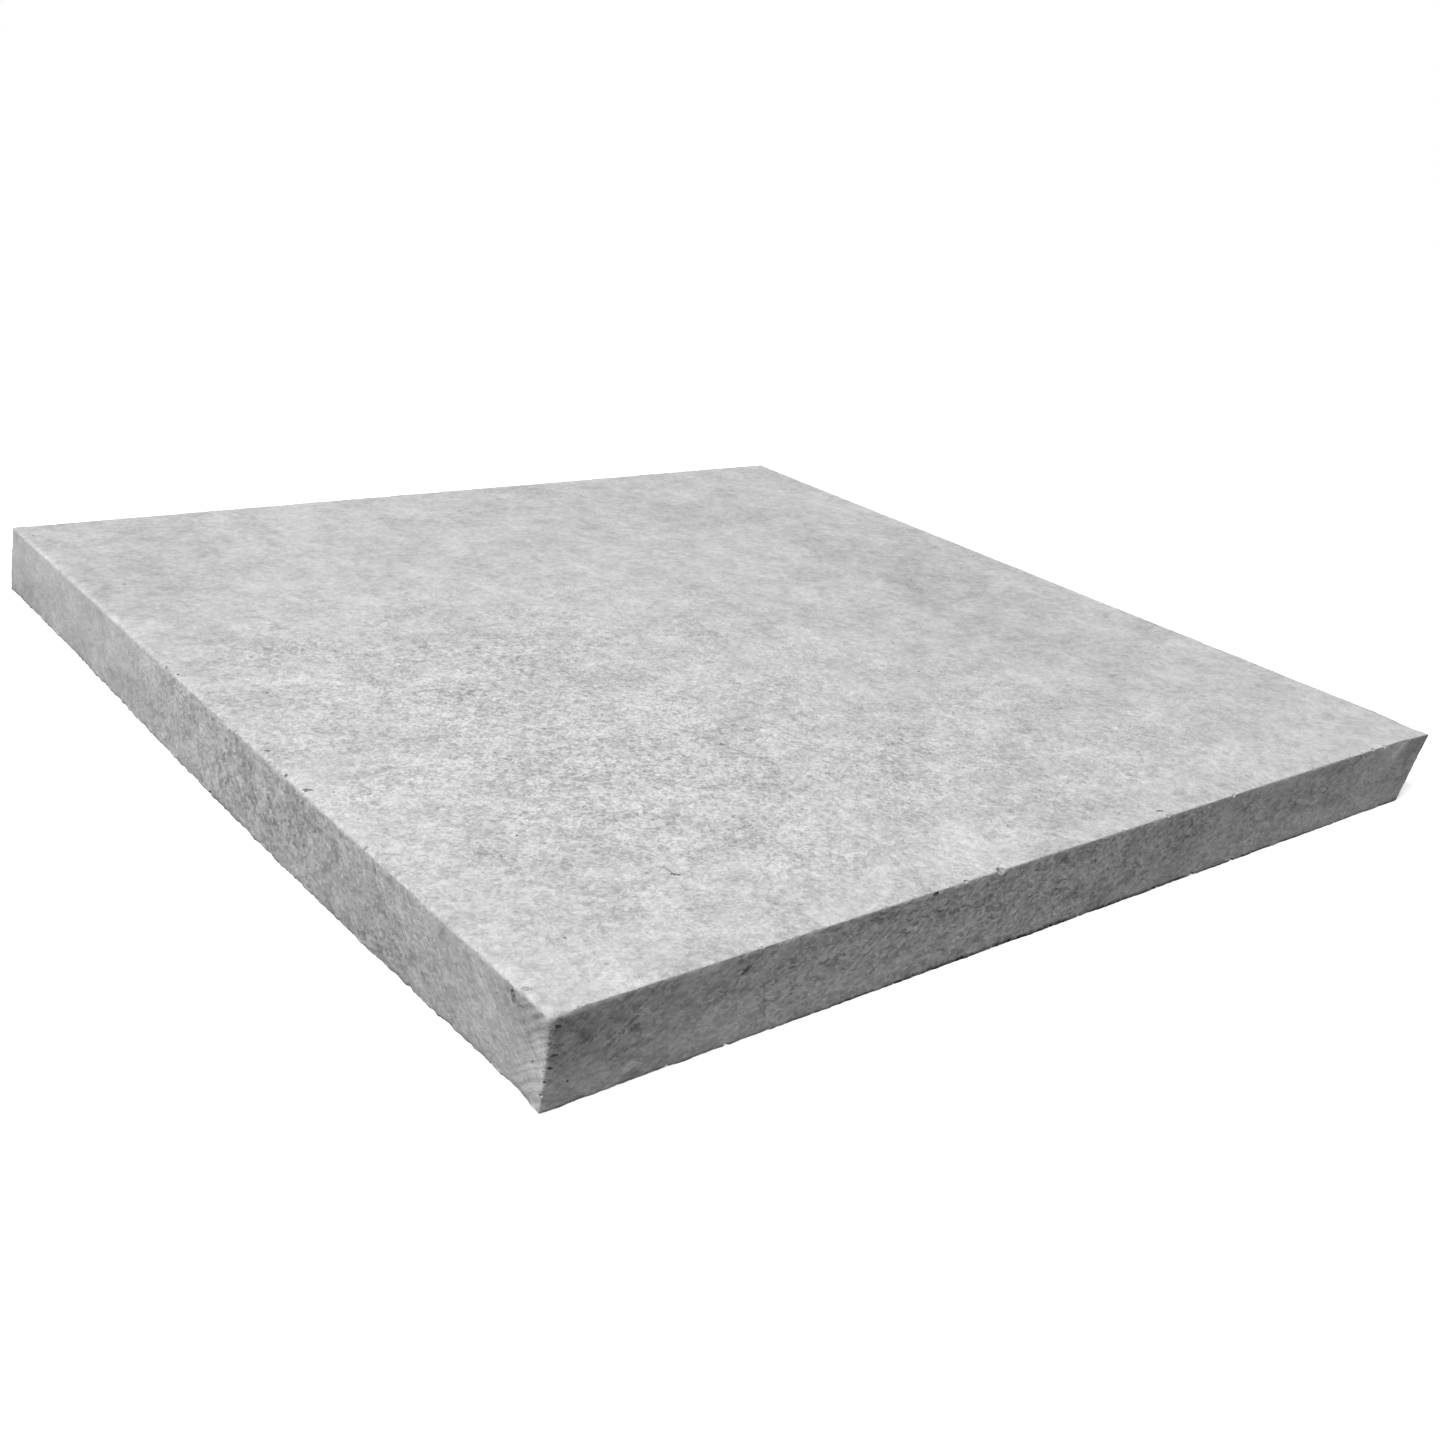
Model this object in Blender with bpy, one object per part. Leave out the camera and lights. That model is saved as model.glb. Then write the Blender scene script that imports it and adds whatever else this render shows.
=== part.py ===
"""Granite slab for leather work: one square of stone, sawn from sheet and rubbed smooth on top.

+Z is up. The underside lies on Z = 0 and the overall box is centred on X and Y. The corner at
-X, -Y is the front corner, the one at +X, -Y the right corner and the one at -X, +Y the left corner.
"""

import math

import bmesh
import bpy

MM = 0.001

# The top face and the sheet that the slab is sawn from.
WIDTH = 300 * MM
DEPTH = 300 * MM
THICKNESS = 20 * MM

# Worn arrises: the flat that rubbing left along each edge.
TOP_ARRIS = 0.9 * MM
FOOT_ARRIS = 0.4 * MM
UPRIGHT_ARRIS = 0.6 * MM
ARRIS_STEPS = 2

# The saw wandered on the -X side, so its foot bows out past the straight top arris.
BELLY = 1.8 * MM
BELLY_PEAK = 120 * MM
BELLY_STEPS = 12

# The right corner is sawn and broken back under its sharp top point.
UNDERCUT_X = 8.6 * MM
UNDERCUT_Y = 6.0 * MM

# The upper part of the front corner's upright edge is knocked back.
SPALL_DROP = 12 * MM
SPALL_DEPTH = 0.9 * MM

# Chips and open pores: how far in from the front corner, or from the far end of that side where
# the name says so, how far below the top, and half the length, width and depth of each.
LEFT_CHIP_Y = 12 * MM
LEFT_CHIP_DROP = 3.0 * MM
LEFT_CHIP_SIZE = (0.5 * MM, 0.6 * MM, 1.6 * MM)
RIGHT_PORE_X = 45.6 * MM
RIGHT_PORE_DROP = 3.6 * MM
RIGHT_PORE_SIZE = (1.0 * MM, 0.6 * MM, 0.6 * MM)
RIGHT_CHIP_FROM_END = 112 * MM
RIGHT_CHIP_DROP = 12 * MM
RIGHT_CHIP_SIZE = (1.3 * MM, 0.5 * MM, 0.8 * MM)
TOP_PORE_FROM_FRONT = ((2.2 * MM, 99 * MM), (51 * MM, 31 * MM), (102 * MM, 79 * MM), (1.9 * MM, 138 * MM))
TOP_PORE_SIZE = (0.8 * MM, 0.7 * MM, 0.4 * MM)

LEFT = -(WIDTH - BELLY) / 2
RIGHT = LEFT + WIDTH
FRONT = -DEPTH / 2
BACK = DEPTH / 2


def clear_scene():
    for found in list(bpy.data.objects):
        bpy.data.objects.remove(found, do_unlink=True)


def stone_material():
    """Light grey granite, ground but not polished."""
    material = bpy.data.materials.new("granite")
    material.use_nodes = True
    shader = material.node_tree.nodes["Principled BSDF"]
    shader.inputs["Base Color"].default_value = (0.48, 0.48, 0.48, 1.0)
    shader.inputs["Roughness"].default_value = 0.8
    shader.inputs["Metallic"].default_value = 0.0
    return material


def belly_at(share):
    """How far the foot of the -X side stands out, at a share from 0 to 1 of the way to the back."""
    skew = math.log(0.5) / math.log(BELLY_PEAK / DEPTH)
    return BELLY * math.sin(math.pi * share**skew)


def slab_mesh():
    """Two outlines, top and foot, joined by the sawn sides."""
    bm = bmesh.new()
    top = []
    foot = []
    for step in range(BELLY_STEPS + 1):
        share = step / BELLY_STEPS
        y = FRONT + DEPTH * share
        top.append(bm.verts.new((LEFT, y, THICKNESS)))
        foot.append(bm.verts.new((LEFT - belly_at(share), y, 0)))
    top.append(bm.verts.new((RIGHT, BACK, THICKNESS)))
    foot.append(bm.verts.new((RIGHT, BACK, 0)))
    point = bm.verts.new((RIGHT, FRONT, THICKNESS))
    heel = bm.verts.new((RIGHT, FRONT + UNDERCUT_Y, 0))
    toe = bm.verts.new((RIGHT - UNDERCUT_X, FRONT, 0))

    bm.faces.new(top + [point])
    bm.faces.new(foot + [heel, toe])
    for here in range(len(top) - 1):
        bm.faces.new((top[here], top[here + 1], foot[here + 1], foot[here]))
    bm.faces.new((top[-1], point, heel, foot[-1]))
    bm.faces.new((point, toe, heel))
    bm.faces.new((point, top[0], foot[0], toe))
    bmesh.ops.recalc_face_normals(bm, faces=bm.faces)

    weight = bm.edges.layers.float.new("bevel_weight_edge")
    for edge in bm.edges:
        heights = sorted(corner.co.z for corner in edge.verts)
        if heights[0] == THICKNESS:
            edge[weight] = 1.0
        elif heights[1] == 0:
            edge[weight] = FOOT_ARRIS / TOP_ARRIS
        elif edge.calc_face_angle() > math.radians(30):
            edge[weight] = UPRIGHT_ARRIS / TOP_ARRIS

    mesh = bpy.data.meshes.new("stone_slab")
    bm.to_mesh(mesh)
    bm.free()
    return mesh


def add_slab(material):
    slab = bpy.data.objects.new("stone_slab", slab_mesh())
    bpy.context.collection.objects.link(slab)
    slab.data.materials.append(material)
    worn = slab.modifiers.new("worn arrises", "BEVEL")
    worn.width = TOP_ARRIS
    worn.limit_method = "WEIGHT"
    worn.segments = ARRIS_STEPS
    return slab


def knock_out(slab, name, centre, half_size):
    """Takes one chip or pore out of the stone: an egg-shaped hollow about centre."""
    bm = bmesh.new()
    bmesh.ops.create_icosphere(bm, subdivisions=2, radius=1.0)
    bmesh.ops.scale(bm, vec=half_size, verts=bm.verts)
    mesh = bpy.data.meshes.new(name)
    bm.to_mesh(mesh)
    bm.free()
    cutter = bpy.data.objects.new(name, mesh)
    cutter.location = centre
    cutter.hide_render = True
    cutter.display_type = "WIRE"
    bpy.context.collection.objects.link(cutter)
    cut = slab.modifiers.new(name, "BOOLEAN")
    cut.object = cutter
    cut.operation = "DIFFERENCE"
    cut.solver = "EXACT"


def add_damage(slab):
    """The chips and open pores that are large enough to feel with a fingernail."""
    left_chip = (LEFT - LEFT_CHIP_SIZE[0] / 2, FRONT + LEFT_CHIP_Y, THICKNESS - LEFT_CHIP_DROP)
    knock_out(slab, "left_side_chip", left_chip, LEFT_CHIP_SIZE)

    pore = (LEFT + RIGHT_PORE_X, FRONT, THICKNESS - RIGHT_PORE_DROP)
    knock_out(slab, "right_side_pore", pore, RIGHT_PORE_SIZE)

    right_chip = (RIGHT - RIGHT_CHIP_FROM_END, FRONT, THICKNESS - RIGHT_CHIP_DROP)
    knock_out(slab, "right_side_chip", right_chip, RIGHT_CHIP_SIZE)

    for count, (from_left, from_front) in enumerate(TOP_PORE_FROM_FRONT, start=1):
        centre = (LEFT + from_left, FRONT + from_front, THICKNESS)
        knock_out(slab, f"top_pore_{count}", centre, TOP_PORE_SIZE)

    spall_reach = 3 * SPALL_DEPTH
    corner = (LEFT - spall_reach + SPALL_DEPTH, FRONT - spall_reach + SPALL_DEPTH, THICKNESS)
    knock_out(slab, "front_corner_spall", corner, (spall_reach, spall_reach, SPALL_DROP))


clear_scene()
add_damage(add_slab(stone_material()))
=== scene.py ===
import math
import random

import bmesh
import bpy
import numpy as np
from mathutils import Matrix, Vector, noise


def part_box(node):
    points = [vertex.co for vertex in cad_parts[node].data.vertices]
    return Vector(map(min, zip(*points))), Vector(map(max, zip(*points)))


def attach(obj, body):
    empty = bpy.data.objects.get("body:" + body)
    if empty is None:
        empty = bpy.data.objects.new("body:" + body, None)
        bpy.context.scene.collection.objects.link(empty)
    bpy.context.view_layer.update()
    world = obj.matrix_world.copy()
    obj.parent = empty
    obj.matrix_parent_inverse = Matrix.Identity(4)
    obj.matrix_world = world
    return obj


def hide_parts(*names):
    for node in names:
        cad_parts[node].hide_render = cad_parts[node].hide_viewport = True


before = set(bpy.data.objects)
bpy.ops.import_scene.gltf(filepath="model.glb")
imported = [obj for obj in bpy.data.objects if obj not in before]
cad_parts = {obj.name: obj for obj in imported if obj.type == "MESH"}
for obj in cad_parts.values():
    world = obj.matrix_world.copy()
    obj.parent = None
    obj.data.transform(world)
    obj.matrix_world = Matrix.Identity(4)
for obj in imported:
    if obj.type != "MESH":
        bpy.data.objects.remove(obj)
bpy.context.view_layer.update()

MM = 0.001


# ---- Camera --------------------------------------------------------------------------------
# A 41 mm lens on a 36 mm frame, 16 cm above the top of the slab and off its front corner. It is
# rolled a little, and its frame is shifted down, as if cut from a larger picture.

bpy.ops.object.camera_add(
    location=(-294.15 * MM, -349.9 * MM, 181.25 * MM),
    rotation=(math.radians(71.42), math.radians(-6.5), math.radians(-38.64)),
)
camera = bpy.context.object
camera.data.lens = 41.0
camera.data.shift_y = -0.0824
camera.data.sensor_width = 36.0
camera.data.clip_start = 0.01
bpy.context.scene.camera = camera


# ---- Floor and light -----------------------------------------------------------------------
# A plain round white table in a white room, under a large soft lamp high on the -X side. The view
# transform keeps greys as they are, so the white stays white.

bpy.context.scene.view_settings.view_transform = "Standard"


def add_node(tree, kind, settings=None, inputs=None):
    """Adds one node. settings are its own properties, and inputs are values or sockets by name."""
    node = tree.nodes.new(kind)
    for name, value in (settings or {}).items():
        setattr(node, name, value)
    for name, value in (inputs or {}).items():
        if isinstance(value, bpy.types.NodeSocket):
            tree.links.new(value, node.inputs[name])
        else:
            node.inputs[name].default_value = value
    return node


def from_hex(code):
    """An sRGB hex colour as the linear RGBA that Blender's sockets take."""
    shares = [int(code[place:place + 2], 16) / 255 for place in (1, 3, 5)]
    linear = [
        share / 12.92 if share <= 0.04045 else ((share + 0.055) / 1.055) ** 2.4 for share in shares
    ]
    return (*linear, 1.0)


def empty_tree(owner):
    """The node tree of a material or a world, emptied."""
    owner.use_nodes = True
    owner.node_tree.nodes.clear()
    return owner.node_tree


# Painted board, matt white to the eye. It returns little light, so that the shaded side stays
# dark, and glows a little, so that it is white out to its rim. The slab stands a hair above it.
TABLE_BOUNCE = 0.16
TABLE_GLOW = 0.45
TABLE_RADIUS = 1.5
TABLE_GAP = 0.05 * MM

bpy.ops.mesh.primitive_circle_add(
    vertices=96, radius=TABLE_RADIUS, fill_type="NGON", location=(0, 0, -TABLE_GAP)
)
table = bpy.context.object
table.name = "table"
white = bpy.data.materials.new("matt white table")
tree = empty_tree(white)
ray = add_node(tree, "ShaderNodeLightPath")
seen = add_node(
    tree,
    "ShaderNodeMapRange",
    None,
    {"Value": ray.outputs["Is Camera Ray"], "To Min": TABLE_BOUNCE, "To Max": 1.0},
)
matt = add_node(tree, "ShaderNodeBsdfDiffuse", None, {"Color": seen.outputs["Result"]})
lift = add_node(
    tree,
    "ShaderNodeMapRange",
    None,
    {"Value": ray.outputs["Is Camera Ray"], "To Min": 0.0, "To Max": TABLE_GLOW},
)
glow = add_node(tree, "ShaderNodeEmission", None, {"Strength": lift.outputs["Result"]})
both = add_node(tree, "ShaderNodeAddShader", None, {0: matt.outputs["BSDF"], 1: glow.outputs["Emission"]})
add_node(tree, "ShaderNodeOutputMaterial", None, {"Surface": both.outputs["Shader"]})
table.data.materials.append(white)

# The room is white to the eye, and lights the slab at under half of that.
ROOM_GLOW = 0.45

world = bpy.data.worlds.new("white room")
bpy.context.scene.world = world
tree = empty_tree(world)
ray = add_node(tree, "ShaderNodeLightPath")
glow = add_node(
    tree,
    "ShaderNodeMapRange",
    None,
    {"Value": ray.outputs["Is Camera Ray"], "To Min": ROOM_GLOW, "To Max": 1.0},
)
room = add_node(
    tree, "ShaderNodeBackground", None, {"Color": (1, 1, 1, 1), "Strength": glow.outputs["Result"]}
)
add_node(tree, "ShaderNodeOutputWorld", None, {"Surface": room.outputs["Background"]})


def add_soft_lamp(name, place, size, watts):
    """A square soft box, its place and size in metres, that faces the middle of the slab."""
    bpy.ops.object.light_add(type="AREA", location=place)
    lamp = bpy.context.object
    lamp.name = name
    lamp.data.shape = "SQUARE"
    lamp.data.size = size
    lamp.data.energy = watts
    lamp.rotation_euler = (-Vector(place)).to_track_quat("-Z", "Y").to_euler()


add_soft_lamp("key soft box", (-1.95, -0.25, 3.0), 2.0, 139)


# ---- Stone slab ----------------------------------------------------------------------------
# One square of light grey granite, sawn from sheet 20 mm thick and ground flat on top. Its
# arrises are eased by hand and worn, and its right corner has broken back below the point.

# The foot of the -X side bows out, because the saw wandered there. BELLY is the room that the
# slab's box leaves for it, and BOW stands out past that, to make up for the wear.
BELLY = 1.8 * MM
BOW = 2.3 * MM
BOW_PEAK = 125 * MM
BOW_FULLNESS = 1.7
TOP_ARRIS = 0.9 * MM
FOOT_ARRIS = 0.3 * MM
UPRIGHT_ARRIS = 0.5 * MM

low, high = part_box("stone_slab")
LEFT = low.x + BELLY
RIGHT = high.x
FRONT = low.y
BACK = high.y
TOP = high.z
FOOT = low.z
THICKNESS = TOP - FOOT

# The mesh is cut closely beside each arris, in rows down the sides and in panels elsewhere. Two
# places less than a HAIR apart are the same.
NEAR_ARRIS = (1.3 * MM, 1.9 * MM, 2.8 * MM, 4.2 * MM, 6.2 * MM)
SIDE_ROW = 1.0 * MM
GRIME_AND_SHADE_TOP = 0.8 * MM
PANELS = 58
CUTS_IN_PANEL = 6
HAIR = 0.01 * MM


def edit(piece):
    """Opens one piece for editing with everything in it selected."""
    bpy.ops.object.select_all(action="DESELECT")
    piece.select_set(True)
    bpy.context.view_layer.objects.active = piece
    bpy.ops.object.mode_set(mode="EDIT")
    bpy.ops.mesh.select_all(action="SELECT")


def select_edges(piece, wanted):
    """Selects the edges that wanted(start, end) picks, and nothing else."""
    bpy.ops.mesh.select_all(action="DESELECT")
    bpy.ops.mesh.select_mode(type="EDGE")
    for edge in bmesh.from_edit_mesh(piece.data).edges:
        edge.select_set(wanted(edge.verts[0].co, edge.verts[1].co))


bpy.ops.object.select_all(action="DESELECT")
bpy.ops.mesh.primitive_cube_add(size=1.0)
slab = bpy.context.object
slab.name = "granite_slab"
edit(slab)
bpy.ops.transform.resize(value=(RIGHT - LEFT, BACK - FRONT, THICKNESS))
bpy.ops.transform.translate(value=((LEFT + RIGHT) / 2, (FRONT + BACK) / 2, (FOOT + TOP) / 2))

# The block, with its arrises eased.
for width, steps, level in ((TOP_ARRIS, 4, TOP), (FOOT_ARRIS, 2, FOOT)):
    select_edges(slab, lambda start, end: abs(start.z - level) + abs(end.z - level) < HAIR)
    bpy.ops.mesh.bevel(offset=width, segments=steps, affect="EDGES")
select_edges(slab, lambda start, end: abs(start.z - end.z) > THICKNESS / 2)
bpy.ops.mesh.bevel(offset=UPRIGHT_ARRIS, segments=3, affect="EDGES")

# Cuts all round, each a place on a plane and the plane's normal.
cuts = []
for inset in NEAR_ARRIS:
    cuts += [((LEFT + inset, 0, 0), (1, 0, 0)), ((RIGHT - inset, 0, 0), (1, 0, 0))]
    cuts += [((0, FRONT + inset, 0), (0, 1, 0)), ((0, BACK - inset, 0), (0, 1, 0))]
for inset in NEAR_ARRIS[:2]:
    cuts += [((0, 0, FOOT + inset), (0, 0, 1)), ((0, 0, TOP - inset), (0, 0, 1))]
cuts.append(((0, 0, FOOT + GRIME_AND_SHADE_TOP), (0, 0, 1)))
side_band = THICKNESS - 2 * NEAR_ARRIS[2]
rows = round(side_band / SIDE_ROW)
for row in range(rows + 1):
    cuts.append(((0, 0, FOOT + NEAR_ARRIS[2] + row * side_band / rows), (0, 0, 1)))
for place, normal in cuts:
    bpy.ops.mesh.select_all(action="SELECT")
    bpy.ops.mesh.bisect(plane_co=place, plane_no=normal)

# Long edges run from end to end, and a panel's edge is about 5 mm long.
LONG_EDGE = 100 * MM
PANEL_EDGE = 3 * MM
for axis in (0, 1):
    select_edges(slab, lambda start, end: abs(start[axis] - end[axis]) > LONG_EDGE)
    bpy.ops.mesh.subdivide(number_cuts=PANELS - 1)


def on_rim(start, end, axis):
    """Whether an edge along axis 0 or 1 is one panel long and lies on a side or beside an arris."""
    across = 1 - axis
    first, last = ((LEFT, RIGHT), (FRONT, BACK))[across]
    from_edge = min(start[across] - first, last - start[across])
    straight = abs(start[across] - end[across]) + abs(start.z - end.z) < HAIR
    whole = abs(start[axis] - end[axis]) > PANEL_EDGE
    return straight and whole and from_edge < NEAR_ARRIS[-1] + HAIR


for axis in (0, 1):
    select_edges(slab, lambda start, end: on_rim(start, end, axis))
    bpy.ops.mesh.subdivide(number_cuts=CUTS_IN_PANEL)
bpy.ops.object.mode_set(mode="OBJECT")

# Every arris is worn: eroded grain by grain, and rubbed down unevenly over longer stretches. The
# sides and the underside are plucked all over, where the saw tore crystals out.
WEAR_REACH = 1.7 * MM
PLUCK_LOSS = 0.09 * MM
GRAIN_LOSS = 0.27 * MM
RUB_LOSS = 0.28 * MM
FOOT_LOSS = 0.65 * MM

# The right corner broke later than the rest wore, so its point is still sharp over this reach.
TIP_REACH = 5 * MM

# The circular blade that squared the sides left arcs, all of one radius and leaning one way. Its
# axle ran BLADE_HEIGHT above the underside. Its feed marks are SAW_PITCH apart, and deeper ones
# DEEP_EVERY times as far.
BLADE_RADIUS = 175 * MM
BLADE_HEIGHT = 153 * MM
SAW_DEPTH = 0.06 * MM
SAW_PITCH = 2.6 * MM
DEEP_EVERY = 5
FEED_SHARE = 0.5
DEEP_SHARE = 1.2


def arris_distance(point):
    """How far a point on the surface lies from the nearest arris."""
    gaps = (
        point.x - LEFT,
        RIGHT - point.x,
        point.y - FRONT,
        BACK - point.y,
        point.z - FOOT,
        TOP - point.z,
    )
    return sorted(max(gap, 0.0) for gap in gaps)[1]


def saw_mark(point):
    """How deep the blade cut at a point, from 0 to 1: fine feed marks, and some deeper ones."""
    place = point.x + point.y - math.sqrt(BLADE_RADIUS**2 - (BLADE_HEIGHT - point.z) ** 2)
    feed = 0.5 + 0.5 * noise.noise(Vector((place / SAW_PITCH, 0.0, 0.0)))
    deep = max(noise.noise(Vector((place / SAW_PITCH / DEEP_EVERY, 7.0, 0.0))), 0.0)
    return min(FEED_SHARE * feed + DEEP_SHARE * deep, 1.0)


# How much of each kind of wear every point takes.
worn = slab.vertex_groups.new(name="worn arrises")
foot = slab.vertex_groups.new(name="foot arrises")
sawn = slab.vertex_groups.new(name="sawn sides")
rough = slab.vertex_groups.new(name="rough faces")
for vert in slab.data.vertices:
    fade = min(arris_distance(vert.co) / WEAR_REACH, 1.0)
    fresh = max(1 - (vert.co - Vector((RIGHT, FRONT, TOP))).length / TIP_REACH, 0.0)
    worn.add([vert.index], (1 - fade) * (1 - fresh), "REPLACE")
    if vert.co.z < FOOT + WEAR_REACH and vert.co.y > FRONT + UPRIGHT_ARRIS:
        foot.add([vert.index], 1 - fade, "REPLACE")
    if FOOT + HAIR < vert.co.z < TOP - HAIR:
        sawn.add([vert.index], saw_mark(vert.co) * fade, "REPLACE")
    if vert.co.z < TOP - HAIR:
        rough.add([vert.index], fade, "REPLACE")

# The foot of the -X side: it bows out, flares again towards the left corner, and at the front
# corner stands out past its upper part, which stays back by up to HEEL_BACK of HEEL_OUT. The -Y
# side leans out a little at its foot. Each fades out over the first few millimetres inwards.
HEEL_REACH = 9 * MM
HEEL_TOP = 8 * MM
HEEL_OUT = 0.6 * MM
HEEL_BACK = 0.7
FLARE = 1.0 * MM
FLARE_POWER = 6
FRONT_LEAN = 0.3 * MM
skew = math.log(0.5) / math.log(BOW_PEAK / (BACK - FRONT))
for vert in slab.data.vertices:
    inset = max((vert.co.x - LEFT) / NEAR_ARRIS[-1], 0.0)
    if inset < 1:
        depth = (TOP - vert.co.z) / THICKNESS
        share = min(max((vert.co.y - FRONT) / (BACK - FRONT), 0.0), 1.0)
        bow = BOW * math.sin(math.pi * share**skew) ** BOW_FULLNESS
        out = (bow + FLARE * share**FLARE_POWER) * depth
        step = max(1 - (vert.co.z - FOOT) / HEEL_TOP, -HEEL_BACK)
        out += HEEL_OUT * step * max(1 - (vert.co.y - FRONT) / HEEL_REACH, 0.0)
        vert.co.x -= out * (1 - inset)
    inset = max((vert.co.y - FRONT) / NEAR_ARRIS[-1], 0.0)
    vert.co.y -= FRONT_LEAN * (TOP - vert.co.z) / THICKNESS * max(1 - inset, 0.0)

# The top of the front corner is rubbed round, that of the right corner keeps a sharp point that
# stands out and sags a little, and the top arris of the -Y side between them is eased less than
# the others. CRISP and POINTED are how far an eased arris is pulled back out to a sharp one.
CRISP = 0.55
POINTED = 0.9
ROUND = 2.2 * MM
ROUND_REACH = 6 * MM
TIP_OUT = 1.0 * MM
TIP_DROP = 0.9 * MM
DROP_REACH = 13 * MM
front_top = Vector((LEFT, FRONT, TOP))
right_top = Vector((RIGHT, FRONT, TOP))
for vert in slab.data.vertices:
    near = 1 - (vert.co - front_top).length / ROUND_REACH
    if near > 0:
        centre = front_top + Vector((ROUND, ROUND, -ROUND))
        arm = vert.co - centre
        arm = Vector((min(arm.x, 0), min(arm.y, 0), max(arm.z, 0)))
        if arm.length > ROUND:
            vert.co -= arm * (1 - ROUND / arm.length) * min(2 * near, 1.0)
    fresh = max(1 - (vert.co - right_top).length / TIP_REACH, 0.0)
    sharp = POINTED * min(2 * fresh, 1.0)
    if vert.co.y < FRONT + TOP_ARRIS and vert.co.x > LEFT + ROUND_REACH:
        sharp = max(sharp, CRISP)
    if sharp > 0:
        vert.co.x += sharp * (RIGHT - vert.co.x) * (RIGHT - vert.co.x < TOP_ARRIS)
        vert.co.y += sharp * (FRONT - vert.co.y) * (vert.co.y - FRONT < TOP_ARRIS)
        vert.co.z += sharp * (TOP - vert.co.z) * (TOP - vert.co.z < TOP_ARRIS)
    from_tip = math.hypot(RIGHT - vert.co.x, vert.co.y - FRONT)
    vert.co += Vector((TIP_OUT, -TIP_OUT / 2, 0)) * max(1 - from_tip / TIP_REACH, 0.0)
    vert.co.z -= TIP_DROP * max(1 - from_tip / DROP_REACH, 0.0) * (vert.co.z - FOOT) / THICKNESS


# How evenly the grains are spread between the surface and their full depth.
GRAIN_MIDDLE = 0.35
GRAIN_CONTRAST = 1.6


def wear(piece, name, depth, group, grain=None):
    """Pushes the surface of a vertex group in, evenly by its weights or in grains of a size.

    Where the grains are weakest the surface comes out a little, as hard crystals do.
    """
    push = piece.modifiers.new(name, "DISPLACE")
    push.strength = -depth
    push.mid_level = 0.0
    push.vertex_group = group
    if grain:
        push.mid_level = GRAIN_MIDDLE
        push.texture = bpy.data.textures.new(name, "CLOUDS")
        push.texture.noise_scale = grain
        push.texture.contrast = GRAIN_CONTRAST
        push.texture_coords = "LOCAL"
    bpy.ops.object.modifier_apply(modifier=name)


# Each kind of wear in turn, and how coarse it is.
wear(slab, "saw marks", SAW_DEPTH, "sawn sides")
wear(slab, "pluck", PLUCK_LOSS, "rough faces", 0.9 * MM)
wear(slab, "grain loss", GRAIN_LOSS, "worn arrises", 1.3 * MM)
wear(slab, "rubbing", RUB_LOSS, "worn arrises", 7 * MM)
wear(slab, "foot loss", FOOT_LOSS, "foot arrises", 1.7 * MM)


# ---- Granite finishes ----------------------------------------------------------------------
# Fine-grained grey granite of feldspar, quartz and a little mica. The saw and the grinding wheel
# leave it matt, and a fresh break or an open pore shows the same crystals rougher, in a darker grey
# that is partly painted shade.

# CRYSTAL is how wide the larger crystals are, GRAIN the smaller ones, MOTTLE the broadest clouds,
# and MICA how far apart the dark flecks lie.
CRYSTAL = 1.9 * MM
GRAIN = 0.65 * MM
MOTTLE = 16 * MM
MOTTLE_OCTAVES = 3
MICA = 3.0 * MM
GRANITE_IOR = 1.54

# How much the large crystals, the small ones and the flecks differ from the stone's middle grey,
# the share of places that have no fleck, how wide the largest fleck is for its place, and how much
# glossier or duller than the rest a crystal can be.
CRYSTAL_TONE = 0.21
GRAIN_TONE = 0.42
MICA_TONE = -0.26
NO_MICA = 0.55
MICA_WIDTH = 0.34
GLOSS_SPREAD = 0.1

# The strokes that the blade's teeth left: how wide they are, how long the stretches where they
# show, how light and how dark they are, and how far the teeth smear the grain.
SAW_STROKE = 1.3 * MM
STROKE_STRETCH = 18 * MM
LIGHT_STROKE = 0.2
DARK_STROKE = -0.13
SMEAR = 0.65

# The scuffs that ring the front corner and rise towards it: how wide they are, how far and how
# often they waver, how steep, how far along the sides they go, how strong they are, and what share
# of that is left on the -Y side.
SCUFF = 1.5 * MM
SCUFF_WOBBLE = 1.6 * MM
SCUFF_WAVER = 5 * MM
SCUFF_RISE = 0.8
SCUFF_REACH = 12 * MM
SCUFF_TONE = 0.20
SCUFF_SHARE = 0.4


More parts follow.
